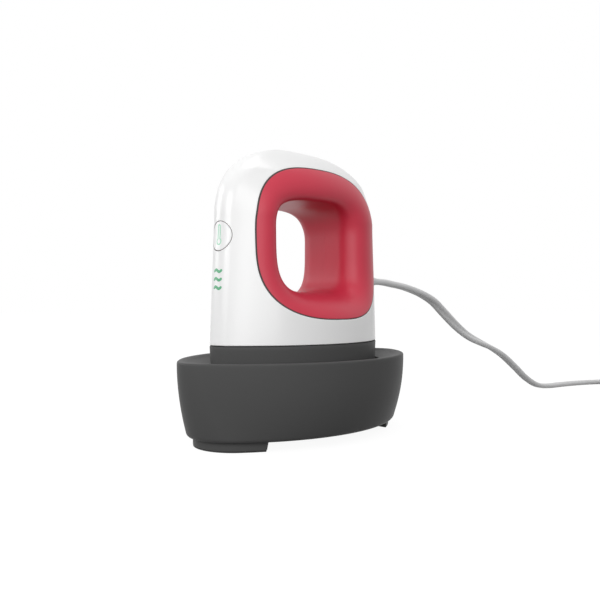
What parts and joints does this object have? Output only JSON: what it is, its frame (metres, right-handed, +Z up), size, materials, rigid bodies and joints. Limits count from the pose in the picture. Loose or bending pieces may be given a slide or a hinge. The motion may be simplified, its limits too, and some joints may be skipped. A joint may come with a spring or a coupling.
{
  "type": "mini heat press",
  "caption": "Small white hand-held heat press with a raspberry grip hole, standing in its dark grey rest base, with a coiled mains cord.",
  "frame": {"origin": "centre of the base's footprint, on the table", "axes": "+Z up, +X from the button end towards the cord end, the hand hole runs along Y"},
  "size_m": [0.3541, 0.1561, 0.1208],
  "materials": {
    "white_plastic": "smooth semi-gloss",
    "raspberry_plastic": "satin",
    "charcoal_plastic": "fine matt grain",
    "dark_plastic": "matt",
    "green_light": "clear green light guide",
    "aluminium": "ceramic-smooth pressing face",
    "steel": "zinc plated",
    "brass": "bright",
    "rubber": "matt",
    "silicone": "matt",
    "fibre": "pressed fibre",
    "circuit_board": "lacquered",
    "cord_plastic": "smooth satin"
  },
  "bodies": {
    "base": {"base_shell": "charcoal_plastic", "base_well": "charcoal_plastic", "base_cover": "charcoal_plastic", "foot_pad_front": "rubber", "foot_pad_rear": "rubber", "rest_pad_front": "silicone", "rest_pad_rear": "silicone", "base_screw_1": "steel", "base_screw_2": "steel", "base_screw_3": "steel", "base_screw_4": "steel", "cord_coil": "cord_plastic", "cord_tie": "dark_plastic", "plug_body": "cord_plastic", "plug_blade_1": "brass", "plug_blade_2": "brass"},
    "press": {"housing": "white_plastic", "grip_liner_right": "raspberry_plastic", "grip_liner_left": "raspberry_plastic", "skirt": "charcoal_plastic", "heat_plate": "aluminium", "heating_element": "steel", "heat_shield": "steel", "insulation_pad": "fibre", "thermistor": "brass", "thermistor_clip": "steel", "thermal_fuse": "steel", "fuse_clip": "steel", "plate_screw_1": "steel", "plate_screw_2": "steel", "plate_screw_3": "steel", "plate_screw_4": "steel", "housing_screw_1": "steel", "housing_screw_2": "steel", "housing_screw_3": "steel", "housing_screw_4": "steel", "control_board": "circuit_board", "relay": "dark_plastic", "capacitor": "dark_plastic", "terminal_block": "silicone", "board_screw_1": "steel", "board_screw_2": "steel", "element_lead_1": "cord_plastic", "element_lead_2": "cord_plastic", "indicator_board": "circuit_board", "wave_light_1": "green_light", "wave_light_2": "green_light", "wave_light_3": "green_light", "lamp_strip": "green_light", "switch_body": "dark_plastic", "cord_bush": "cord_plastic", "cord_inner_end": "cord_plastic", "cord_clamp": "dark_plastic", "cord_clamp_screw_1": "steel", "cord_clamp_screw_2": "steel", "cord_run": "cord_plastic"},
    "button": {"button_cap": "white_plastic", "button_icon": "green_light", "switch_plunger": "dark_plastic"}
  },
  "joints": [
    {"name": "press_lift", "type": "slide", "parent": "base", "child": "press", "axis": [0, 0, 1], "range_m": [0, 0.07]},
    {"name": "button_press", "type": "slide", "parent": "press", "child": "button", "axis": [1, 0, 0], "range_m": [0, 0.0006], "stiffness_N_per_m": 2500}
  ]
}
